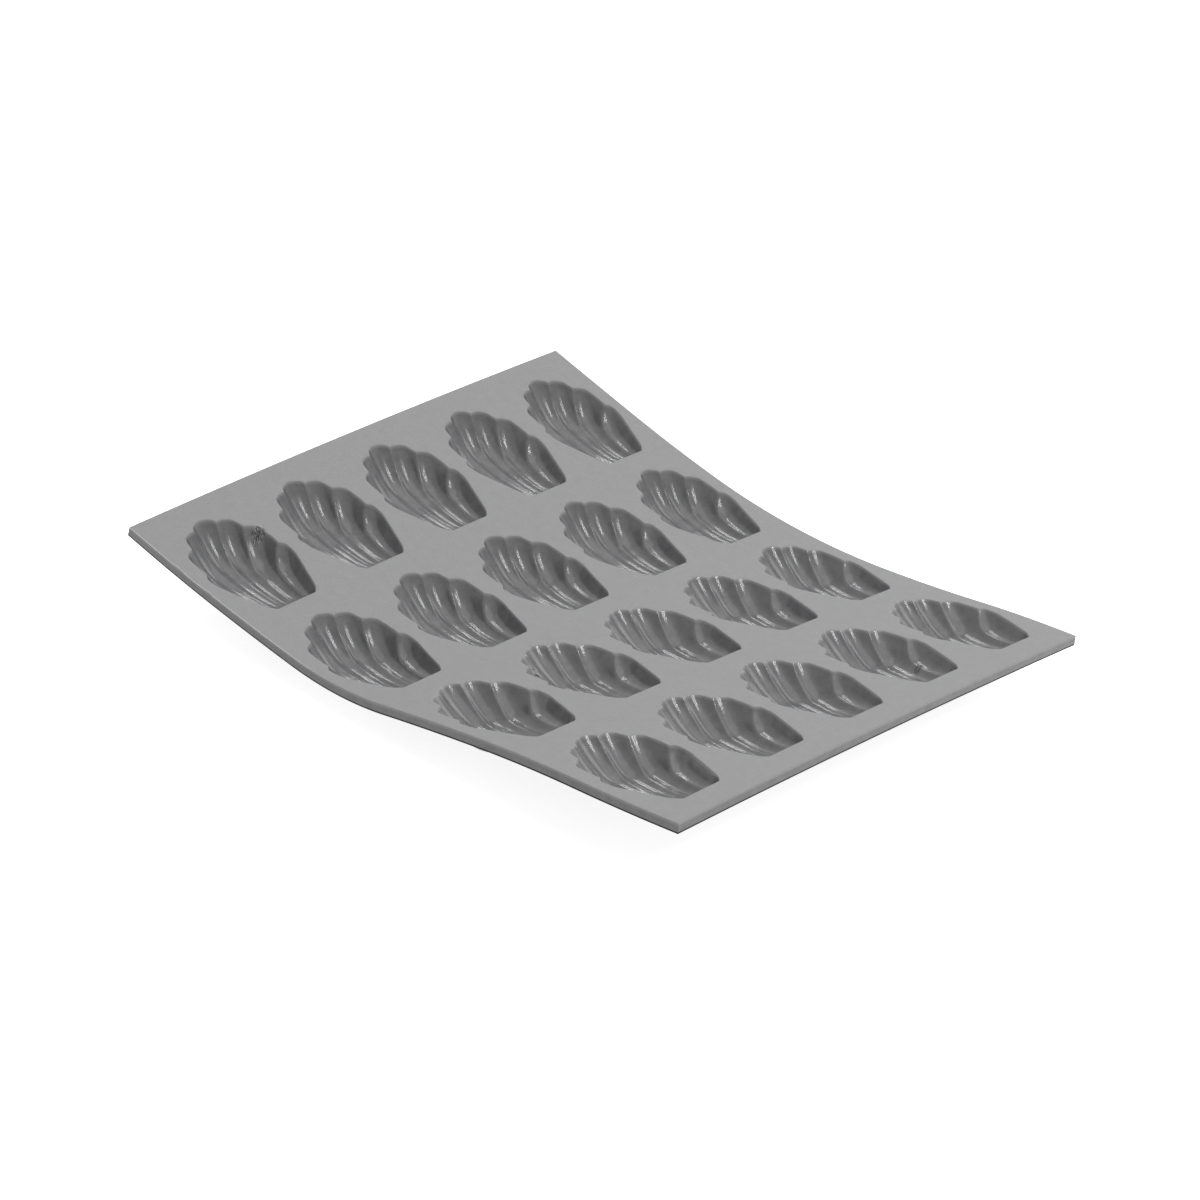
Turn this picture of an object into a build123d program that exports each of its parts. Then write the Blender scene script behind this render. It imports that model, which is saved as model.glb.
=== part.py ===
from build123d import *
import math
import os

# A flexible moulded tray for twenty small madeleines. It is one moulding in real life. Here it is
# divided where it bends and where each cup hangs from the sheet, so that every cup, every row of
# sheet and every flexible web between two rows is a piece of its own.
# X runs along the sheet from the raised back edge to the front, Y runs across from the near long
# edge to the far one, and Z is up. Sizes are in millimetres, angles in degrees.

# Cavities, and the plain sheet round them
cup_rows = 4
cup_columns = 5
cavity_length = 41.0
cavity_width = 29.8
cavity_depth = 9.0
straight_end_width = 16.8
row_gap = 7.6
column_gap = 4.8
end_margin = 8.1
side_margin = 3.9

# Walls
sheet_thickness = 3.0
rim_wall = 1.2
floor_wall = 1.6
neck_strip = 1.0
collar_drop = 1.6

# Grooves of the shell: radius at the straight end, in the middle and in the lobe at the rim
groove_radius_straight_end = 1.7
groove_radius_middle = 3.6
groove_radius_lobe = 4.4
groove_draft = 24.6
groove_overrun = 9.0

# How the sheet lies: its slope at equal steps along the near and the far long edge
near_edge_slopes = (-12.3, -8.9, -6.7, 11.8, 9.5, 5.1, 8.0)
far_edge_slopes = (-14.3, -13.7, -10.4, -2.2, 5.6, 9.0, 4.6)
far_edge_lift = 6.0
middle_rise = 1.1
steps_between_slopes = 4
cut_overrun = 10.0

# Sizes that follow from those above
row_pitch = cavity_length + row_gap
column_pitch = cavity_width + column_gap
sheet_length = cup_rows * cavity_length + (cup_rows - 1) * row_gap + 2 * end_margin
sheet_width = cup_columns * cavity_width + (cup_columns - 1) * column_gap + 2 * side_margin
cup_depth = cavity_depth + floor_wall
web_edge = rim_wall + neck_strip

# Outline of a cup's neck, from the straight end to the lobed end, as shares of its half length and
# half width. The straight end's own half width is a size, so its share isn't in the table.
neck_outline_shares = ((0.37, 0.95), (-0.09, 1.02), (-0.55, 0.92), (-0.87, 0.66), (-1.0, 0.0))

# Levels of the cup's outside: depth, length, width and shift towards the straight end
level_shares = (
    (0.283, 0.98, 0.98, 0.0),
    (0.585, 0.87, 0.80, 0.088),
    (0.783, 0.69, 0.69, 0.08),
    (0.934, 0.44, 0.49, 0.0),
    (1.0, 0.27, 0.30, 0.0),
)

# Grooves: where each starts on the straight end, bends and ends on the rim (shares of the cavity's
# half length and half width), then its depth and its three radii as shares of the common ones
groove_shares = (
    (0.0, (0.0, 0.0), (-1.007, 0.0), 1.0, (1.0, 1.0, 1.0)),
    (0.161, (0.049, 0.215), (-0.873, 0.383), 0.967, (1.0, 1.0, 0.886)),
    (0.315, (0.146, 0.389), (-0.595, 0.682), 0.844, (0.94, 0.917, 1.03)),
    (0.394, (0.337, 0.606), (-0.105, 0.852), 0.556, (0.824, 0.667, 0.814)),
)

# Depth of a groove's bottom along its path, from just before the straight end to past the rim
path_shares = (-0.04, 0.06, 0.16, 0.34, 0.55, 0.74, 0.88, 0.96, 1.0, 1.05)
depth_shares = (0.48, 0.63, 0.79, 0.94, 1.0, 0.91, 0.52, 0.20, 0.0, -0.35)


def edge_path(slopes, start_height):
    """Points (x, z, slope) along one long edge of the sheet's top, at equal steps along it."""
    steps = (len(slopes) - 1) * steps_between_slopes
    step = sheet_length / steps
    x = sheet_length * 0
    z = start_height
    path = [(x, z, slopes[0])]
    for index in range(steps):
        where = index / steps_between_slopes
        slot = int(where)
        left = slopes[slot] + (slopes[slot + 1] - slopes[slot]) * (where - slot)
        right = left + (slopes[slot + 1] - slopes[slot]) / steps_between_slopes
        middle = math.radians((left + right) / 2)
        x += step * math.cos(middle)
        z += step * math.sin(middle)
        path.append((x, z, right))
    return path


near_path = edge_path(near_edge_slopes, 0)
far_path = edge_path(far_edge_slopes, far_edge_lift)
middle_path = [
    ((near[0] + far[0]) / 2, (near[1] + far[1]) / 2 + middle_rise, (near[2] + far[2]) / 2)
    for near, far in zip(near_path, far_path)
]
lowest = min(point[1] for point in near_path + far_path)
highest = max(point[1] for point in near_path + far_path)


def on_path(path, along):
    """The (x, z) of a path at a length along the sheet."""
    where = along / sheet_length * (len(path) - 1)
    slot = min(int(where), len(path) - 2)
    part = where - slot
    first, second = path[slot], path[slot + 1]
    return (
        first[0] + (second[0] - first[0]) * part,
        first[1] + (second[1] - first[1]) * part,
    )


def on_sheet(along, across):
    """The point of the sheet's top at a length along it and a place across it."""
    share = across / sheet_width + 0.5
    near, far = on_path(near_path, along), on_path(far_path, along)
    rise = middle_rise * (1 - (2 * share - 1) ** 2)
    return Vector(
        near[0] + (far[0] - near[0]) * share,
        across,
        near[1] + (far[1] - near[1]) * share + rise,
    )


def sheet_solid(depth_below, flat_bottom):
    """The bent sheet, or with a flat bottom all the space below its top face."""
    with BuildPart() as solid:
        for path, across in ((near_path, -1), (middle_path, 0), (far_path, 1)):
            top = [(x, z) for x, z, slope in path]
            if flat_bottom:
                floor = lowest - depth_below
                ends = [(top[-1][0], floor), (top[0][0], floor)]
            else:
                bottom = [
                    (
                        x + depth_below * math.sin(math.radians(slope)),
                        z - depth_below * math.cos(math.radians(slope)),
                    )
                    for x, z, slope in path
                ]
                ends = [bottom[-1], bottom[0]]
            with BuildSketch(Plane.XZ.offset(-across * sheet_width / 2)):
                with BuildLine():
                    Spline(*top)
                    Line(top[-1], ends[0])
                    if flat_bottom:
                        Line(*ends)
                    else:
                        Spline(*reversed(bottom))
                    Line(ends[1], top[0])
                make_face()
        loft()
    return solid.part


def neck_outline(depth, length_share, width_share, shift_share):
    """The outline of a cup's outside at one depth, added to the sketch in hand."""
    half_length = (cavity_length / 2 + rim_wall) * length_share
    half_width = (cavity_width / 2 + rim_wall) * width_share
    end_width = (straight_end_width / 2 + rim_wall) * width_share
    shift = cavity_length / 2 * shift_share
    side = [(half_length * a + shift, half_width * b) for a, b in neck_outline_shares]
    corner = (half_length + shift, end_width)
    points = [corner] + side + [(x, -y) for x, y in reversed(side[:-1])] + [(corner[0], -end_width)]
    with BuildSketch(Plane.XY.offset(-depth)) as outline:
        with BuildLine():
            Spline(*points)
            Line(points[-1], points[0])
        make_face()
    return outline.sketch


def curve_point(start, bend, end, share):
    """A point of the bowed line from start to end, pulled towards bend."""
    rest = 1 - share
    return tuple(
        rest * rest * a + 2 * rest * share * b + share * share * c
        for a, b, c in zip(start, bend, end)
    )


def groove_solid(entry, side):
    """What one groove of the shell takes out of the cup, on one side of its middle."""
    start_share, bend_share, end_share, deep_share, radius_shares = entry
    half_length, half_width = cavity_length / 2, cavity_width / 2
    start = (half_length, half_width * start_share * side)
    bend = (half_length * bend_share[0], half_width * bend_share[1] * side)
    end = (half_length * end_share[0], half_width * end_share[1] * side)
    radii = [
        radius * share
        for radius, share in zip(
            (groove_radius_straight_end, groove_radius_middle, groove_radius_lobe), radius_shares
        )
    ]
    lean = math.radians(groove_draft)
    with BuildPart() as groove:
        for share, deep in zip(path_shares, depth_shares):
            here = curve_point(start, bend, end, share)
            ahead = curve_point(start, bend, end, share + 0.001)
            if share < 0.5:
                radius = radii[0] + (radii[1] - radii[0]) * share / 0.5
            else:
                radius = radii[1] + (radii[2] - radii[1]) * (share - 0.5) / 0.5
            bottom = -deep * deep_share * cavity_depth
            side_x = radius * math.cos(lean)
            side_z = bottom + radius - radius * math.sin(lean)
            top_x = side_x + (groove_overrun - side_z) * math.tan(lean)
            place = Plane(
                origin=(here[0], here[1], 0),
                x_dir=(ahead[1] - here[1], here[0] - ahead[0], 0),
                z_dir=(here[0] - ahead[0], here[1] - ahead[1], 0),
            )
            with BuildSketch(place):
                with BuildLine():
                    ThreePointArc((-side_x, side_z), (0, bottom), (side_x, side_z))
                    Polyline(
                        (side_x, side_z),
                        (top_x, groove_overrun),
                        (-top_x, groove_overrun),
                        (-side_x, side_z),
                    )
                make_face()
        loft()
    return groove.part


with BuildPart() as cavity:
    add(groove_solid(groove_shares[0], 1))
    for groove_entry in groove_shares[1:]:
        add(groove_solid(groove_entry, 1))
        add(groove_solid(groove_entry, -1))
    split(bisect_by=Plane.YZ.offset(cavity_length / 2), keep=Keep.BOTTOM)

with BuildPart() as neck:
    add(neck_outline(sheet_thickness + collar_drop, 1, 1, 0))
    extrude(amount=sheet_thickness + collar_drop + groove_overrun)

with BuildPart() as cup_blank:
    for depth_share, length_share, width_share, shift_share in level_shares:
        add(neck_outline(cup_depth * depth_share, length_share, width_share, shift_share))
    loft()
    add(neck.part)
    add(cavity.part, mode=Mode.SUBTRACT)

bent_sheet = sheet_solid(sheet_thickness, False)
space_below = sheet_solid(cup_depth + cut_overrun, True)


def row_start(row):
    """Where the lobed ends of a row's cavities begin, along the sheet."""
    return end_margin + row * row_pitch


def cup_place(row, column):
    """Where a cup sits: its middle, lying along the line from its lobed to its straight end."""
    across = (column - (cup_columns - 1) / 2) * column_pitch
    lobed = on_sheet(row_start(row), across)
    middle = on_sheet(row_start(row) + cavity_length / 2, across)
    straight = on_sheet(row_start(row) + cavity_length, across)
    reach = column_gap / 2
    nearer = on_sheet(row_start(row) + cavity_length / 2, across - reach)
    farther = on_sheet(row_start(row) + cavity_length / 2, across + reach)
    along_direction = straight - lobed
    upward = along_direction.cross(farther - nearer)
    centre = (middle + (lobed + straight) * 0.5) * 0.5
    return Plane(origin=centre, x_dir=along_direction, z_dir=upward).location


def band(start, end):
    """The part of the bent sheet between two lengths along it, cut by upright planes."""
    near_start, near_end = on_path(near_path, start)[0], on_path(near_path, end)[0]
    far_start, far_end = on_path(far_path, start)[0], on_path(far_path, end)[0]
    if start <= 0:
        near_start, far_start = near_start - cut_overrun, far_start - cut_overrun
    if end >= sheet_length:
        near_end, far_end = near_end + cut_overrun, far_end + cut_overrun
    half = sheet_width / 2
    with BuildPart() as piece:
        with BuildSketch(Plane.XY.offset(lowest - cup_depth - cut_overrun)):
            with BuildLine():
                Polyline(
                    (near_start, -half),
                    (near_end, -half),
                    (far_end, half),
                    (far_start, half),
                    close=True,
                )
            make_face()
        extrude(amount=highest - lowest + cup_depth + 2 * cut_overrun)
        add(bent_sheet, mode=Mode.INTERSECT)
    return piece.part


# The cups, one after another along each row
pieces = []
for row in range(cup_rows):
    for column in range(cup_columns):
        with BuildPart() as cup:
            add(cup_blank.part.moved(cup_place(row, column)))
            add(space_below, mode=Mode.INTERSECT)
        cup.part.label = f"cup_{row + 1}_{column + 1}"
        pieces.append(cup.part)

# The sheet round each row, with a window for each of its cups
for row in range(cup_rows):
    start = 0 if row == 0 else row_start(row) - web_edge
    end = sheet_length if row == cup_rows - 1 else row_start(row) + cavity_length + web_edge
    with BuildPart() as row_panel:
        add(band(start, end))
        for column in range(cup_columns):
            add(neck.part.moved(cup_place(row, column)), mode=Mode.SUBTRACT)
    row_panel.part.label = f"row_{row + 1}_panel"
    pieces.append(row_panel.part)

# The plain strips between the rows, where the sheet folds
for row in range(cup_rows - 1):
    start = row_start(row) + cavity_length + web_edge
    with BuildPart() as web:
        add(band(start, row_start(row + 1) - web_edge))
    web.part.label = f"web_{row + 1}_{row + 2}"
    pieces.append(web.part)

# The origin is under the middle of the mould, on the surface that the lowest cups stand on
boxes = [piece.bounding_box() for piece in pieces]
left, right = min(box.min.X for box in boxes), max(box.max.X for box in boxes)
to_origin = Location((-(left + right) / 2, 0, -min(box.min.Z for box in boxes)))

os.makedirs("parts", exist_ok=True)
for piece in pieces:
    placed = piece.moved(to_origin)
    placed.label = piece.label
    export_step(placed, f"parts/{piece.label}.step")
print("moved to the origin by", to_origin.position)
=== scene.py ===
import math

import bpy
import numpy as np
from mathutils import Matrix, Vector


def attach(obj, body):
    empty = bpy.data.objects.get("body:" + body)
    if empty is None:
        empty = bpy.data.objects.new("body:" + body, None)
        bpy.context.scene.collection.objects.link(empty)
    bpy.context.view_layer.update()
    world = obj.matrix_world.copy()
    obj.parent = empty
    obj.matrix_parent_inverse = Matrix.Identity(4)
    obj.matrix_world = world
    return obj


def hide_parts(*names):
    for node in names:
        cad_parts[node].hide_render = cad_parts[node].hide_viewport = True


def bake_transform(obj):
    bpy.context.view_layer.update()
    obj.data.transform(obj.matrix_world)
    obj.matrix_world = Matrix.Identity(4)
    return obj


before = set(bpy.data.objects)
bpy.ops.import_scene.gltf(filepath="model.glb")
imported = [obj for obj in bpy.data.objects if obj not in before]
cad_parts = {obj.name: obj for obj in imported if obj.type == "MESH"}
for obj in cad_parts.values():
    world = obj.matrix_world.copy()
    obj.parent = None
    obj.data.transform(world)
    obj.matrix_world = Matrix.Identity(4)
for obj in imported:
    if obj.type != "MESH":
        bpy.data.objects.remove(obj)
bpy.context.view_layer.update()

# The mould is one bent sheet of silicone foam with twenty fluted cups. Every piece is drawn flat
# first, as (along, across, height) in millimetres, and then laid on the bent sheet.
# Along runs from the raised back edge to the front, across from the near long edge to the far one.

mould = {
    "rows": 4,
    "columns": 5,
    "cavityLength": 41.0,
    "cavityWidth": 29.8,
    "straightEnd": 16.8,
    "rowGap": 7.6,
    "columnGap": 4.8,
    "endMargin": 8.1,
    "sideMargin": 3.9,
    "thickness": 3.0,
    "rimWall": 1.2,
    "neckStrip": 1.0,
}
rowPitch = mould["cavityLength"] + mould["rowGap"]
columnPitch = mould["cavityWidth"] + mould["columnGap"]
sheetLength = mould["rows"] * rowPitch - mould["rowGap"] + 2 * mould["endMargin"]
sheetWidth = mould["columns"] * columnPitch - mould["columnGap"] + 2 * mould["sideMargin"]
halfLength = mould["cavityLength"] / 2

# The sheet's bend: slopes in degrees at even steps along both long edges, and where the near one
# starts.
bend = {
    "nearSlopes": (-12.3, -8.9, -6.7, 11.8, 9.5, 5.1, 8.0),
    "farSlopes": (-14.3, -13.7, -10.4, -2.2, 5.6, 9.0, 4.6),
    "farLift": 6.0,
    "middleRise": 1.1,
    "steps": 204,
    "startX": -100.259,
    "startZ": 22.185,
    "slopeReach": 1.5,
}


# Distance along one long edge of the sheet, with its x and z, at equal steps.
def edgeLine(slopes, lift):
    share = np.linspace(0, 1, bend["steps"] + 1)
    slope = np.radians(np.interp(share, np.linspace(0, 1, len(slopes)), slopes))
    step = sheetLength / bend["steps"]
    middle = (slope[1:] + slope[:-1]) / 2
    x = np.concatenate([[0], np.cumsum(np.cos(middle) * step)]) + bend["startX"]
    z = np.concatenate([[0], np.cumsum(np.sin(middle) * step)]) + bend["startZ"] + lift
    return share * sheetLength, x, z


nearLine = edgeLine(bend["nearSlopes"], 0)
farLine = edgeLine(bend["farSlopes"], bend["farLift"])


# One coordinate of an edge, carried straight on past both ends.
def onLine(line, along, column):
    value = np.interp(along, line[0], line[column])
    first = (line[column][1] - line[column][0]) / (line[0][1] - line[0][0])
    last = (line[column][-1] - line[column][-2]) / (line[0][-1] - line[0][-2])
    return value + np.minimum(along, 0) * first + np.maximum(along - sheetLength, 0) * last


# Points of the sheet's top face, in millimetres.
def sheetTop(along, across):
    share = across / sheetWidth + 0.5
    x = onLine(nearLine, along, 1) * (1 - share) + onLine(farLine, along, 1) * share
    z = onLine(nearLine, along, 2) * (1 - share) + onLine(farLine, along, 2) * share
    return np.stack([x, across, z + bend["middleRise"] * (1 - (2 * share - 1) ** 2)], -1)


# Flat points (along, across, height) laid on the bent sheet, in metres.
def layOnSheet(flat):
    along, across, height = flat[:, 0], flat[:, 1], flat[:, 2]
    reach = bend["slopeReach"]
    ahead = sheetTop(along + reach, across) - sheetTop(along - reach, across)
    aside = sheetTop(along, across + reach) - sheetTop(along, across - reach)
    upward = np.cross(ahead, aside)
    upward /= np.linalg.norm(upward, axis=1)[:, None]
    return (sheetTop(along, across) + upward * height[:, None]) / 1000


# Each groove: start, bend and end on the plan, its depth, and its radius at the straight end, in
# the middle and in the rim's lobe. The drafts are in degrees.
shell = {
    "grooves": (
        ((20.5, 0.0), (0.0, 0.0), (-20.64, 0.0), 9.0, (1.7, 3.6, 4.4)),
        ((20.5, 2.4), (1.0, 3.2), (-17.89, 5.71), 8.7, (1.7, 3.6, 3.9)),
        ((20.5, 4.7), (3.0, 5.8), (-12.2, 10.16), 7.6, (1.6, 3.3, 4.53)),
        ((20.5, 5.87), (6.9, 9.03), (-2.16, 12.7), 5.0, (1.4, 2.4, 3.58)),
    ),
    "pathShares": (0.0, 0.06, 0.16, 0.34, 0.55, 0.74, 0.88, 0.96, 1.0, 1.08),
    "depthShares": (0.52, 0.63, 0.79, 0.94, 1.0, 0.91, 0.52, 0.20, 0.0, -0.56),
    "draft": 24.6,
    "endDraft": 12.0,
    "cornerCut": 1.25,
    "cornerDraft": 16.0,
    "ridgeSharpness": 5.0,
    "endSharpness": 2.5,
    "rimRounding": 0.12,
    "pathSteps": 400,
    "heightLimit": 20,
}


# A smooth curve through the knots, with slopes from the neighbours.
def smoothCurve(knots, values, where):
    knots, values = np.array(knots), np.array(values)
    slopes = np.gradient(values, knots)
    slot = np.clip(np.searchsorted(knots, where) - 1, 0, len(knots) - 2)
    span = knots[slot + 1] - knots[slot]
    t = (where - knots[slot]) / span
    a = 2 * t**3 - 3 * t**2 + 1
    b = t**3 - 2 * t**2 + t
    c = -2 * t**3 + 3 * t**2
    d = t**3 - t**2
    return (
        a * values[slot]
        + b * span * slopes[slot]
        + c * values[slot + 1]
        + d * span * slopes[slot + 1]
    )


# Height of one groove's surface over the plan, above or below the sheet's top.
def grooveHeight(points, groove, side):
    start, turn, end, depth, radii = groove
    start, turn, end = [np.array((p[0], p[1] * side)) for p in (start, turn, end)]
    share = np.linspace(0, shell["pathShares"][-1], shell["pathSteps"])
    t = share[:, None]
    path = (1 - t) ** 2 * start + 2 * t * (1 - t) * turn + t**2 * end
    deep = smoothCurve(shell["pathShares"], shell["depthShares"], share) * depth
    radius = np.interp(share, (0, 0.5, 1.0), radii)
    first, second = path[:-1], path[1:]
    way = second - first
    length = (way**2).sum(1)
    best = np.full(len(points), 1e9)
    found = np.zeros((len(points), 2))
    for index in range(len(way)):
        offset = points - first[index]
        part = np.clip(offset @ way[index] / length[index], 0, 1)
        gap = offset - part[:, None] * way[index]
        distance = (gap**2).sum(1)
        nearer = distance < best
        best[nearer] = distance[nearer]
        found[nearer, 0] = deep[index] + (deep[index + 1] - deep[index]) * part[nearer]
        found[nearer, 1] = radius[index] + (radius[index + 1] - radius[index]) * part[nearer]
    aside = np.sqrt(best)
    lean = math.radians(shell["draft"])
    curve = found[:, 1]
    flank = curve * math.cos(lean)
    inner = curve - np.sqrt(np.maximum(curve**2 - np.minimum(aside, flank) ** 2, 0))
    outer = curve - curve * math.sin(lean) + (aside - flank) / math.tan(lean)
    return -found[:, 0] + np.where(aside < flank, inner, outer)


# Height of the cavity's surface: the grooves meet in soft ridges, and end at a steep wall with
# small rounded corners.
def shellHeight(points):
    total = np.zeros(len(points))
    limit = shell["heightLimit"]
    k = shell["ridgeSharpness"]
    for index, groove in enumerate(shell["grooves"]):
        for side in ((1,) if index == 0 else (1, -1)):
            total += np.exp(-k * np.clip(grooveHeight(points, groove, side), -limit, limit))
    grooves = -np.log(total) / k
    endWall = (points[:, 0] - halfLength) / math.tan(math.radians(shell["endDraft"]))
    past = points[:, 0] - halfLength + np.abs(points[:, 1]) - mould["straightEnd"] / 2
    cornerLean = math.tan(math.radians(shell["cornerDraft"]))
    corners = (past + shell["cornerCut"]) / math.sqrt(2) / cornerLean
    k = shell["endSharpness"]
    return np.logaddexp(np.logaddexp(k * grooves, k * endWall), k * corners) / k


# The cavity's surface joined to the flat top by a small rounded rim.
def settled(height):
    soft = shell["rimRounding"]
    return -soft * np.logaddexp(0, -height / soft)


print("cavity surface ready")


# How the rectangle round one cavity is divided: rings that spread from the cavity's middle over
# its rim to the neck, plain rings of sheet, and the rings underneath.
cell = {
    "acrossSteps": 96,
    "alongSteps": 112,
    "innerRings": 34,
    "rimRings": (0.955, 0.97, 0.98, 0.988, 0.994, 1.0, 1.006, 1.013, 1.022, 1.035),
    "plainRings": 4,
    "underRings": 14,
    "ringSpread": 0.85,
    "ringReach": 0.94,
    "rimSearch": (3.0, 26.0),
    "searchSteps": 26,
    "neckSmoothing": 60,
    "neckEasing": 20,
    "leastWall": 0.6,
}
cellBack = -halfLength - mould["rimWall"] - mould["neckStrip"]
cellFront = halfLength + mould["rimWall"] + mould["neckStrip"]


# Points round a rectangular cell, starting at its back near corner.
def cellBorder(back, front, near, far):
    across = np.linspace(near, far, cell["acrossSteps"] + 1)
    along = np.linspace(back, front, cell["alongSteps"] + 1)
    sides = [
        np.stack([np.full(len(across) - 1, back), across[:-1]], -1),
        np.stack([along[:-1], np.full(len(along) - 1, far)], -1),
        np.stack([np.full(len(across) - 1, front), across[:0:-1]], -1),
        np.stack([along[:0:-1], np.full(len(along) - 1, near)], -1),
    ]
    return np.concatenate(sides)


standardBorder = cellBorder(cellBack, cellFront, -columnPitch / 2, columnPitch / 2)
rayAngles = np.arctan2(standardBorder[:, 1], standardBorder[:, 0])
rayWays = np.stack([np.cos(rayAngles), np.sin(rayAngles)], -1)


# How far the cavity's rim lies from its middle along each ray.
def rimReach():
    low, high = [np.full(len(rayWays), limit) for limit in cell["rimSearch"]]
    for _ in range(cell["searchSteps"]):
        middle = (low + high) / 2
        inside = shellHeight(rayWays * middle[:, None]) < 0
        low = np.where(inside, middle, low)
        high = np.where(inside, high, middle)
    return (low + high) / 2


rim = rimReach()
smoothRim = rim.copy()
for _ in range(cell["neckSmoothing"]):
    smoothRim = (np.roll(smoothRim, 1) + smoothRim + np.roll(smoothRim, -1)) / 3
neck = np.maximum(rim, smoothRim) + mould["rimWall"]
for _ in range(cell["neckEasing"]):
    eased = (np.roll(neck, 1) + neck + np.roll(neck, -1)) / 3
    neck = np.maximum(eased, rim + mould["rimWall"] * cell["leastWall"])

innerShares = np.linspace(0, 1, cell["innerRings"] + 1)[1:]
ringShares = np.concatenate(
    [innerShares ** cell["ringSpread"] * cell["ringReach"], cell["rimRings"]]
)
cavityRings = [rayWays * (rim * share)[:, None] for share in ringShares]
cavityRings.append(rayWays * neck[:, None])
cavityHeights = [settled(shellHeight(ring)) for ring in cavityRings]
cavityHeights[-1] = np.zeros(len(rayWays))
cavityMiddle = settled(shellHeight(np.zeros((1, 2))))[0]

# The outside of a cup at levels from its neck to its foot: depth below the sheet's top, length and
# width as shares of the neck's, and shift towards the straight end. The last ring stops short of
# the foot's middle.
outside = {
    "depths": (3.0, 3.5, 4.4, 6.0, 8.2, 9.7, 10.3, 10.3),
    "lengths": (1.0, 0.985, 0.94, 0.87, 0.69, 0.44, 0.27, 0.0),
    "widths": (1.0, 0.975, 0.90, 0.78, 0.66, 0.46, 0.30, 0.0),
    "shifts": (0.0, 0.0, 0.9, 1.8, 1.6, 0.0, 0.0, 0.0),
    "shortBy": 0.4,
}


# Rings of the cup's outside, from the neck in to its foot.
def cupUnderside():
    rings, heights = [], []
    levels = np.arange(len(outside["depths"]))
    for level in np.linspace(0, levels[-1] - outside["shortBy"], cell["underRings"]):
        depth, long, wide, shift = [
            smoothCurve(levels, outside[key], np.array([level]))[0]
            for key in ("depths", "lengths", "widths", "shifts")
        ]
        ring = rayWays * neck[:, None] * np.array([long, wide]) + np.array([shift, 0])
        rings.append(ring)
        heights.append(np.full(len(rayWays), -depth))
    return rings, heights


underRings, underHeights = cupUnderside()
print("cell rings ready", len(rayWays), len(cavityRings))


# Quads between two closed rings of points that start at the given numbers.
def ringFaces(count, first, second, flip=False):
    a = np.arange(count)
    b = (a + 1) % count
    quads = np.stack([first + a, first + b, second + b, second + a], -1)
    return quads[:, ::-1] if flip else quads


# A smooth mesh piece from flat points, with each point's height and tone kept for the material.
# The tone holds the painted shade and painted highlight at the edges and flaws, and the flaws'
# random tone.
def makePiece(name, flat, quads, toneAndPaintedLight, tris=()):
    mesh = bpy.data.meshes.new(name)
    faces = [tuple(face) for group in (*quads, *tris) for face in group.tolist()]
    mesh.from_pydata([tuple(point) for point in layOnSheet(flat).tolist()], [], faces)
    for key, values in (("flatHeight", flat[:, 2]), ("toneAndPaintedLight", toneAndPaintedLight)):
        mesh.attributes.new(key, "FLOAT", "POINT")
        mesh.attributes[key].data.foreach_set("value", values.astype(np.float32))
    mesh.shade_smooth()
    mesh.update()
    piece = bpy.data.objects.new(name, mesh)
    bpy.context.scene.collection.objects.link(piece)
    return piece


# The flat place of a cell's middle.
def cellPlace(row, column):
    along = mould["endMargin"] + row * rowPitch + halfLength
    across = (column - (mould["columns"] - 1) / 2) * columnPitch
    return np.array([along, across])


# Small flaws in single cups, by row and column: place from the cup's middle, radius, and how far
# the surface rises there. Rough ones are broken up and darker; smooth ones get a ring of painted
# shade round their edge.
flaws = {
    (0, 0): (((-8.6, 12.3), 1.9, 0.6, True),),
    (2, 0): (((17.6, 8.2), 0.9, 0.6, False), ((16.4, 7.8), 0.6, 0.4, False)),
    (2, 1): (((-13.8, -5.0), 1.3, 0.4, True), ((0.2, -14.6), 0.8, 0.3, True)),
    (3, 3): (((6.0, 9.2), 0.85, 0.7, False),),
}
flawLook = {
    "rimPlace": 0.95,
    "rimWidth": 0.25,
    # Painted shade in a ring round each smooth flaw's edge.
    "rimPaintedShade": 0.35,
    "roughFrom": 0.2,
    "roughTones": (-0.95, 0.7),
}
flawChance = np.random.default_rng(7)


# Height and tone of a cup's inside changed at its flaws, with painted shade round the smooth ones.
def withFlaws(row, column, plan, height):
    toneAndPaintedLight = np.ones(len(plan))
    for place, radius, rise, rough in flaws.get((row, column), ()):
        distance = np.linalg.norm(plan - np.array(place), axis=1) / radius
        paintedShadeBand = np.exp(-(((distance - flawLook["rimPlace"]) / flawLook["rimWidth"]) ** 2))
        swell = np.sqrt(np.clip(1 - distance**2, 0, 1))
        if rough:
            broken = flawChance.uniform(0, 1, len(plan))
            height = height + rise * swell * broken
            shades = flawChance.uniform(*flawLook["roughTones"], len(plan))
            toneAndPaintedLight = toneAndPaintedLight + (swell > flawLook["roughFrom"]) * shades
        else:
            height = height + rise * swell
            # A ring of painted shade round the smooth swell's edge.
            toneAndPaintedLight = toneAndPaintedLight - flawLook["rimPaintedShade"] * paintedShadeBand
    return height, toneAndPaintedLight


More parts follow.
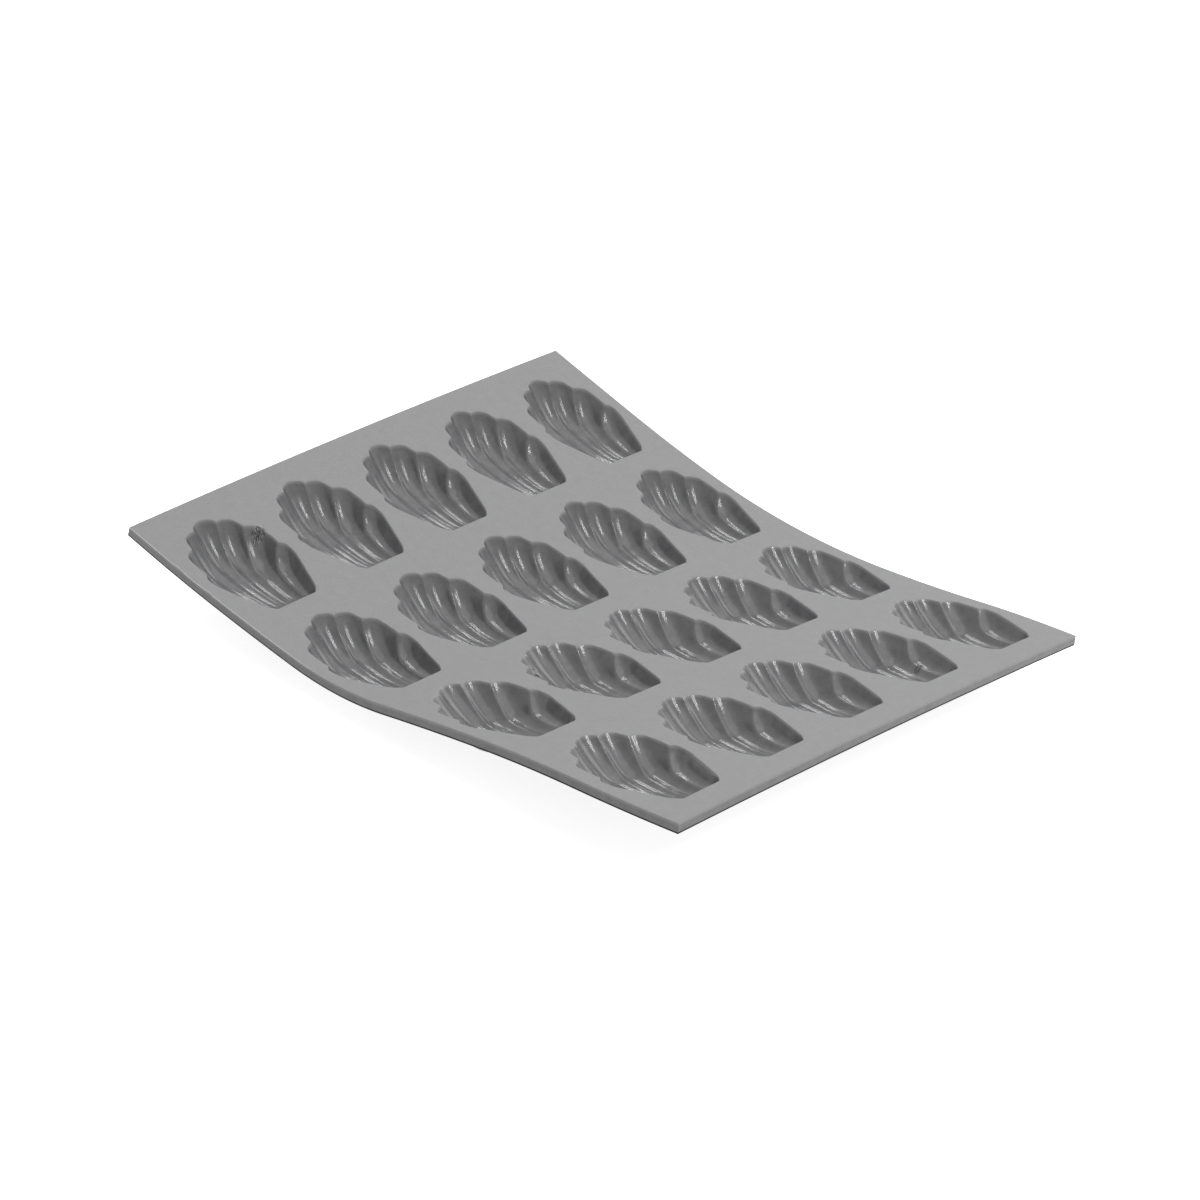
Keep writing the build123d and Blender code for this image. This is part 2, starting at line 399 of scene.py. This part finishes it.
# One cup: its fluted inside, its rim out to the neck, and its outside down to the foot.
def makeCup(row, column):
    middle = cellPlace(row, column)
    count = len(rayWays)
    points = [np.array([[middle[0], middle[1], cavityMiddle]])]
    tonesAndPaintedLight = [np.ones(1)]
    for ring, height in zip(cavityRings, cavityHeights):
        height, toneAndPaintedLight = withFlaws(row, column, ring, height)
        points.append(np.column_stack([ring + middle, height]))
        tonesAndPaintedLight.append(toneAndPaintedLight)
    for ring, height in zip(underRings, underHeights):
        points.append(np.column_stack([ring + middle, height]))
        tonesAndPaintedLight.append(np.ones(count))
    points.append(np.array([[middle[0], middle[1], -outside["depths"][-1]]]))
    tonesAndPaintedLight.append(np.ones(1))
    lower = 1 + len(cavityRings) * count
    foot = lower + len(underRings) * count
    end = foot - count
    starts = [*range(1, lower - count, count), *range(lower, end, count)]
    quads = [ringFaces(count, start, start + count, True) for start in starts]
    a = np.arange(count)
    b = (a + 1) % count
    tris = [
        np.stack([np.zeros(count, int), 1 + a, 1 + b], -1),
        np.stack([np.full(count, foot), end + b, end + a], -1),
    ]
    name = f"Cup_{row + 1}_{column + 1}"
    piece = makePiece(name, np.concatenate(points), quads, np.concatenate(tonesAndPaintedLight), tris)
    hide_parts(f"cup_{row + 1}_{column + 1}")
    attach(piece, f"row_{row + 1}")
    return piece


cups = [makeCup(row, column) for row in range(mould["rows"]) for column in range(mould["columns"])]
print("cups ready", len(cups))


# The sheet's outer edge. The tones paint shade along its lower corner and a painted highlight
# along its flash; a flash wave is its place along the near edge, its length and its height.
edge = {
    "rounding": 0.2,
    "roundingSteps": 4,
    "wallSteps": 12,
    # Painted shade: the lower corner of the edge is darkened to this share.
    "lowerPaintedShade": 0.1,
    # Painted highlight: the top rounding along the near flash is lightened by up to this share.
    "flashPaintedHighlight": 1.2,
    "flashHeight": 0.16,
    "flashEnd": 85.0,
    "flashFade": 20,
    "flashWaves": ((21.0, 2.0, 0.32), (27.0, 2.2, -0.25), (33.5, 1.6, 0.3)),
    "cornerSteps": 6,
}


# Outward reach and height down the sheet's edge, from its top face to its underside.
def edgeProfile():
    r = edge["rounding"]
    profile = []
    for step in range(edge["roundingSteps"] + 1):
        angle = math.pi / 2 * step / edge["roundingSteps"]
        profile.append((-r + r * math.sin(angle), -r + r * math.cos(angle)))
    for step in range(1, edge["wallSteps"]):
        profile.append((0, -r - (mould["thickness"] - 2 * r) * step / edge["wallSteps"]))
    for step in range(edge["roundingSteps"] + 1):
        angle = math.pi / 2 * step / edge["roundingSteps"]
        profile.append((-r + r * math.cos(angle), -mould["thickness"] + r - r * math.sin(angle)))
    return profile


# How strong the moulding flash is along the near edge, fading out towards the front.
def flashShare(along):
    return np.clip((edge["flashEnd"] - along) / edge["flashFade"], 0, 1)


# How far moulding flash lifts one point of the edge profile: a thin lip towards the back, with a
# wavy stretch.
def flashLift(index, along):
    if index == 0 or index > edge["roundingSteps"]:
        return along * 0
    lift = edge["flashHeight"] * flashShare(along)
    for place, length, size in edge["flashWaves"]:
        lift = lift + size * np.exp(-(((along - place) / length) ** 2))
    return lift * math.sin(math.pi * (index + 0.5) / (edge["roundingSteps"] + 1))


# Tone of one point of the edge profile: painted shade where the lower edge turns under, and a
# painted highlight on the top rounding along the flash, strongest on the near edge and fading
# towards the front.
def edgePaintedLight(index, along, nearness):
    if index >= edge["roundingSteps"] + edge["wallSteps"] - 1:
        # Painted shade along the lower corner.
        return along * 0 + edge["lowerPaintedShade"]
    if index == 0 or index >= edge["roundingSteps"]:
        return along * 0 + 1
    # Painted highlight along the flash.
    return 1 + edge["flashPaintedHighlight"] * nearness * flashShare(along)


# Where a row's panel begins and ends, measured from its cells' middle.
def panelLimits(row):
    back = -halfLength - mould["endMargin"] if row == 0 else cellBack
    front = halfLength + mould["endMargin"] if row == mould["rows"] - 1 else cellFront
    return back, front


# The sheet round one row of cups: its top and underside, and its outer edges.
def makePanel(row):
    points, quads = [], []
    total = 0
    back, front = panelLimits(row)
    inset = edge["rounding"]
    backIn = back + inset if row == 0 else back
    frontIn = front - inset if row == mould["rows"] - 1 else front
    count = len(rayWays)
    for column in range(mould["columns"]):
        middle = cellPlace(row, column)
        near = -columnPitch / 2
        far = columnPitch / 2
        if column == 0:
            near = -sheetWidth / 2 + inset - middle[1]
        if column == mould["columns"] - 1:
            far = sheetWidth / 2 - inset - middle[1]
        border = cellBorder(backIn, frontIn, near, far)
        inner = rayWays * neck[:, None]
        for height, flip in ((0.0, True), (-mould["thickness"], False)):
            for step in range(cell["plainRings"] + 1):
                share = step / cell["plainRings"]
                ring = inner * (1 - share) + border * share
                points.append(np.column_stack([ring + middle, np.full(count, height)]))
                if step:
                    quads.append(ringFaces(count, total - count, total, flip))
                total += count
    tonesAndPaintedLight = [np.ones(total)]
    edgeStrips(row, backIn, frontIn, points, tonesAndPaintedLight, quads, total)
    name = f"Row_{row + 1}_Panel"
    piece = makePiece(name, np.concatenate(points), quads, np.concatenate(tonesAndPaintedLight))
    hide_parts(f"row_{row + 1}_panel")
    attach(piece, f"row_{row + 1}")
    return piece


# Quads of a grid of points, counted row by row.
def stripFaces(rows, columns, start, flip):
    a = np.arange(rows - 1)[:, None] * columns + np.arange(columns - 1)[None, :] + start
    quads = np.stack([a, a + 1, a + columns + 1, a + columns], -1).reshape(-1, 4)
    return quads[:, ::-1] if flip else quads


# The rounded outer edges of one row's panel, with the end and its corners on the end rows. They
# are added to the panel's points, tones and quads; the tones paint shade along the lower corner
# and a highlight along the near flash.
def edgeStrips(row, backIn, frontIn, points, tonesAndPaintedLight, quads, total):
    middle = cellPlace(row, 0)[0]
    half = sheetWidth / 2 - edge["rounding"]
    profile = edgeProfile()
    alongs = np.linspace(backIn, frontIn, cell["alongSteps"] + 1) + middle
    near = [(u, -half, 0, -1) for u in alongs]
    far = [(u, half, 0, 1) for u in alongs]
    if row in (0, mould["rows"] - 1):
        place, way = (alongs[0], -1) if row == 0 else (alongs[-1], 1)
        end = corner(place, -half, (0, -1), (way, 0))
        end += [(place, v, way, 0) for v in rowAcrosses()]
        end += corner(place, half, (way, 0), (0, 1))
        runs = [(near[::-1] + end + far, True) if row == 0 else (near + end + far[::-1], False)]
    else:
        runs = [(near, False), (far, True)]
    for run, flip in runs:
        place = np.array(run)
        for index, (reach, height) in enumerate(profile):
            plan = place[:, :2] + place[:, 2:] * (reach + edge["rounding"])
            nearness = np.clip(-place[:, 3], 0, 1)
            lift = flashLift(index, plan[:, 0]) * nearness
            points.append(np.column_stack([plan, height + lift]))
            # Tones with painted shade on the lower corner and a painted highlight on the near
            # flash.
            tonesAndPaintedLight.append(edgePaintedLight(index, plan[:, 0], nearness))
        quads.append(stripFaces(len(profile), len(place), total, not flip))
        total += len(profile) * len(place)


# Directions that turn round one corner of the sheet, from the first way to the second.
def corner(along, across, first, second):
    turn = []
    for step in range(1, edge["cornerSteps"]):
        angle = math.pi / 2 * step / edge["cornerSteps"]
        way = np.array(first) * math.cos(angle) + np.array(second) * math.sin(angle)
        turn.append((along, across, way[0], way[1]))
    return turn


# The places across the sheet where the cells' border points lie.
def rowAcrosses():
    half = sheetWidth / 2 - edge["rounding"]
    places = []
    for column in range(mould["columns"]):
        middle = cellPlace(0, column)[1]
        near = -half if column == 0 else middle - columnPitch / 2
        far = half if column == mould["columns"] - 1 else middle + columnPitch / 2
        places += list(np.linspace(near, far, cell["acrossSteps"] + 1)[:-1])
    return places + [half]


panels = [makePanel(row) for row in range(mould["rows"])]
print("panels ready", len(panels))


# Steps along a web, and the share of it at each side that stays with the row there.
web = {"steps": 14, "stiffShare": 0.12}


# The plain strip between two rows; on the real sheet it bends square to the fold.
def makeWeb(row):
    middleHere, middleNext = cellPlace(row, 0)[0], cellPlace(row + 1, 0)[0]
    start, end = middleHere + cellFront, middleNext + cellBack
    acrosses = np.array(rowAcrosses())
    alongs = np.linspace(start, end, web["steps"] + 1)
    profile = edgeProfile()
    section = [(v, 0.0) for v in acrosses]
    half = sheetWidth / 2
    section = [(-half - reach, height) for reach, height in profile[::-1]][:-1] + section
    section = section[:-1] + [(half + reach, height) for reach, height in profile]
    under = [(v, -mould["thickness"]) for v in acrosses[::-1][1:-1]]
    loop = np.array(section + under)
    side = len(profile) - 1
    points = [np.column_stack([np.full(len(loop), u), loop]) for u in alongs]
    tonesAndPaintedLight = [np.ones(len(loop)) for _ in alongs]
    # The edges' tones: painted shade on the lower corners, a painted highlight on the near flash.
    for index in range(1, len(profile)):
        for ring, toneAndPaintedLight in zip(points, tonesAndPaintedLight):
            ring[side - index, 2] += flashLift(index, ring[0, 0])
            toneAndPaintedLight[side - index] = edgePaintedLight(index, ring[0, 0], 1)
            toneAndPaintedLight[side + len(acrosses) - 1 + index] = edgePaintedLight(index, ring[0, 0], 0)
    count = len(loop)
    quads = [ringFaces(count, i * count, (i + 1) * count) for i in range(web["steps"])]
    name = f"Web_{row + 1}_{row + 2}"
    piece = makePiece(name, np.concatenate(points), quads, np.concatenate(tonesAndPaintedLight))
    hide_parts(f"web_{row + 1}_{row + 2}")
    core = -mould["thickness"] / 2
    first, last, near, far = layOnSheet(
        np.array([[start, 0, core], [end, 0, core], [start, -half, core], [start, half, core]])
    )
    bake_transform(piece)
    return piece


webs = [makeWeb(row) for row in range(mould["rows"] - 1)]
print("webs ready", len(webs))


look = {
    "sheetColour": (0.29, 0.29, 0.295, 1),
    # The cups' colours are darker than the sheet's partly by their own colour and partly by
    # painted shade in the hollows.
    "cupLightWithShade": (0.175, 0.175, 0.179, 1),
    "cupDarkWithShade": (0.142, 0.143, 0.147, 1),
    "colourAndShadeHeights": (-0.15, -0.9),
    "cloudRange": (0.35, 0.65),
    "noiseRange": (0.3, 0.7),
    "mottleScale": 320.0,
    "mottleDetail": 4,
    "mottleShade": (0.975, 1.025),
    "speckScale": 1900.0,
    "speckDetail": 2,
    "speckShade": (0.94, 1.06),
    "shine": 0.5,
    "sheetRoughness": 0.62,
    "cupRoughness": 0.17,
    "roughnessHeights": (-0.02, -0.25),
    "grainScale": 2600.0,
    "grainDetail": 3,
    "grainDistance": 0.0003,
    "sheetBump": 0.025,
    "cupBump": 0.006,
}


# A socket fed by another node's output, or by a plain value.
def feed(tree, value, socket):
    if isinstance(value, bpy.types.NodeSocket):
        tree.links.new(value, socket)
    else:
        socket.default_value = value


# A value that the mesh keeps at each point.
def keptValue(tree, name):
    node = tree.nodes.new("ShaderNodeAttribute")
    node.attribute_name = name
    return node.outputs["Fac"]


def noise(tree, place, scale, detail):
    node = tree.nodes.new("ShaderNodeTexNoise")
    node.inputs["Scale"].default_value = scale
    node.inputs["Detail"].default_value = detail
    tree.links.new(place, node.inputs["Vector"])
    return node.outputs["Fac"]


# A value carried from one range to another.
def ranged(tree, value, source=(0, 1), target=(0, 1)):
    node = tree.nodes.new("ShaderNodeMapRange")
    for key, amount in zip(("From Min", "From Max", "To Min", "To Max"), (*source, *target)):
        node.inputs[key].default_value = amount
    tree.links.new(value, node.inputs["Value"])
    return node.outputs["Result"]


def combined(tree, operation, first, second):
    node = tree.nodes.new("ShaderNodeMath")
    node.operation = operation
    feed(tree, first, node.inputs[0])
    feed(tree, second, node.inputs[1])
    return node.outputs["Value"]


# Two colours mixed. A mix node's sockets 0, 6 and 7 are its share and its two colours.
def mixed(tree, share, first, second, kind="MIX"):
    node = tree.nodes.new("ShaderNodeMix")
    node.data_type = "RGBA"
    node.blend_type = kind
    feed(tree, share, node.inputs[0])
    feed(tree, first, node.inputs[6])
    feed(tree, second, node.inputs[7])
    return node.outputs[2]


# Grey silicone foam: a matte top face and smoother, slightly glossy cups, painted darker partly by
# their own colour and partly by painted shade in the hollows. The kept tone adds the painted shade
# and painted highlight at the edges and flaws.
def siliconeMaterial():
    material = bpy.data.materials.new("SiliconeFoam")
    material.use_nodes = True
    tree = material.node_tree
    shader = tree.nodes["Principled BSDF"]
    height, toneAndPaintedLight = keptValue(tree, "flatHeight"), keptValue(tree, "toneAndPaintedLight")
    place = tree.nodes.new("ShaderNodeTexCoord").outputs["Object"]
    mottle = noise(tree, place, look["mottleScale"], look["mottleDetail"])
    specks = noise(tree, place, look["speckScale"], look["speckDetail"])
    grain = noise(tree, place, look["grainScale"], look["grainDetail"])
    inCup = ranged(tree, height, look["colourAndShadeHeights"])

    clouds = ranged(tree, mottle, look["cloudRange"])
    # The cups' colour, partly their own and partly painted shade in the hollows, varied at random.
    cupColourAndShade = mixed(tree, clouds, look["cupDarkWithShade"], look["cupLightWithShade"])
    colour = mixed(tree, inCup, look["sheetColour"], cupColourAndShade)
    mottleShade = ranged(tree, mottle, look["noiseRange"], look["mottleShade"])
    speckShade = ranged(tree, specks, look["noiseRange"], look["speckShade"])
    shade = combined(tree, "MULTIPLY", mottleShade, speckShade)
    # The kept tone brings in the painted shade and painted highlight.
    shade = combined(tree, "MULTIPLY", shade, toneAndPaintedLight)
    feed(tree, mixed(tree, 1, colour, shade, "MULTIPLY"), shader.inputs["Base Color"])

    shine = combined(tree, "MULTIPLY", toneAndPaintedLight, look["shine"])
    feed(tree, shine, shader.inputs["Specular IOR Level"])
    roughnesses = (look["sheetRoughness"], look["cupRoughness"])
    roughness = ranged(tree, height, look["roughnessHeights"], roughnesses)
    feed(tree, roughness, shader.inputs["Roughness"])

    bump = tree.nodes.new("ShaderNodeBump")
    bump.inputs["Distance"].default_value = look["grainDistance"]
    strength = ranged(tree, inCup, target=(look["sheetBump"], look["cupBump"]))
    feed(tree, strength, bump.inputs["Strength"])
    feed(tree, grain, bump.inputs["Height"])
    feed(tree, bump.outputs["Normal"], shader.inputs["Normal"])
    return material


silicone = siliconeMaterial()
for piece in cups + panels + webs:
    piece.data.materials.clear()
    piece.data.materials.append(silicone)
print("material ready")


# The surroundings, in metres and watts. A lamp is its name, place, size and power.
stage = {
    "floorSize": 6.0,
    "floorColour": (0.85, 0.85, 0.85, 1),
    "floorRoughness": 0.9,
    "floorGlow": 0.84,
    "surround": 0.33,
    "lamps": (
        ("RightStripA", (0.687, -0.048, 0.983), (0.07, 0.4), 1.9),
        ("RightStripB", (0.678, 0.14, 0.983), (0.07, 0.4), 1.9),
        ("LeftStripA", (-0.704, 0.591, 0.771), (0.07, 0.4), 1.0),
        ("LeftStripB", (-0.769, 0.359, 0.849), (0.07, 0.4), 1.0),
        ("BackLight", (0.1, 0.9, 0.75), (0.9, 0.5), 2.6),
        ("TopLight", (0.0, 0.0, 1.3), (1.2, 1.2), 4.4),
    ),
    "lampAim": (0, 0, 0.01),
    "camera": (0.52849, -0.67785, 0.487414),
    "right": (0.742936, 0.659749, 0.113034),
    "forward": (-0.539563, 0.690206, -0.48217),
    "lens": 105.044,
    "sensorWidth": 36,
}


# One for rays from the camera and for mirrored and transmitted ones, nought for the light itself.
def seenDirectly(tree):
    ray = tree.nodes.new("ShaderNodeLightPath")
    seen = combined(tree, "MAXIMUM", ray.outputs["Is Camera Ray"], ray.outputs["Is Glossy Ray"])
    return combined(tree, "MAXIMUM", seen, ray.outputs["Is Transmission Ray"])


# A pale floor that the camera sees as plain white.
def makeFloor():
    size = stage["floorSize"] / 2
    corners = [(-size, -size, 0), (size, -size, 0), (size, size, 0), (-size, size, 0)]
    mesh = bpy.data.meshes.new("Floor")
    mesh.from_pydata(corners, [], [(0, 1, 2, 3)])
    floor = bpy.data.objects.new("Floor", mesh)
    bpy.context.scene.collection.objects.link(floor)
    material = bpy.data.materials.new("PaleFloor")
    material.use_nodes = True
    tree = material.node_tree
    shader = tree.nodes["Principled BSDF"]
    shader.inputs["Base Color"].default_value = stage["floorColour"]
    shader.inputs["Roughness"].default_value = stage["floorRoughness"]
    shader.inputs["Emission Color"].default_value = (1, 1, 1, 1)
    glow = combined(tree, "MULTIPLY", seenDirectly(tree), stage["floorGlow"])
    feed(tree, glow, shader.inputs["Emission Strength"])
    mesh.materials.append(material)


# A soft rectangular light at a place, turned to the aim.
def makeLight(name, place, size, power):
    light = bpy.data.lights.new(name, "AREA")
    light.shape = "RECTANGLE"
    light.size, light.size_y = size
    light.energy = power
    lamp = bpy.data.objects.new(name, light)
    lamp.location = place
    turn = (Vector(stage["lampAim"]) - Vector(place)).to_track_quat("-Z", "Y")
    lamp.rotation_euler = turn.to_euler()
    bpy.context.scene.collection.objects.link(lamp)


# The camera, where the photograph's perspective puts it.
def makeCamera():
    camera = bpy.data.cameras.new("Camera")
    camera.lens = stage["lens"]
    camera.sensor_width = stage["sensorWidth"]
    eye = bpy.data.objects.new("Camera", camera)
    right, forward = Vector(stage["right"]).normalized(), Vector(stage["forward"]).normalized()
    up = right.cross(forward)
    turn = Matrix((right, up, -forward)).transposed()
    eye.matrix_world = Matrix.Translation(stage["camera"]) @ turn.to_4x4()
    bpy.context.scene.collection.objects.link(eye)
    bpy.context.scene.camera = eye


# An even white surround, which the camera sees as plain white.
def makeWorld():
    world = bpy.data.worlds.new("World")
    bpy.context.scene.world = world
    world.use_nodes = True
    tree = world.node_tree
    background = tree.nodes["Background"]
    background.inputs["Color"].default_value = (1, 1, 1, 1)
    level = ranged(tree, seenDirectly(tree), target=(stage["surround"], 1))
    feed(tree, level, background.inputs["Strength"])


makeFloor()
for lamp in stage["lamps"]:
    makeLight(*lamp)
makeCamera()
makeWorld()
bpy.context.scene.view_settings.view_transform = "Standard"
print("stage ready")
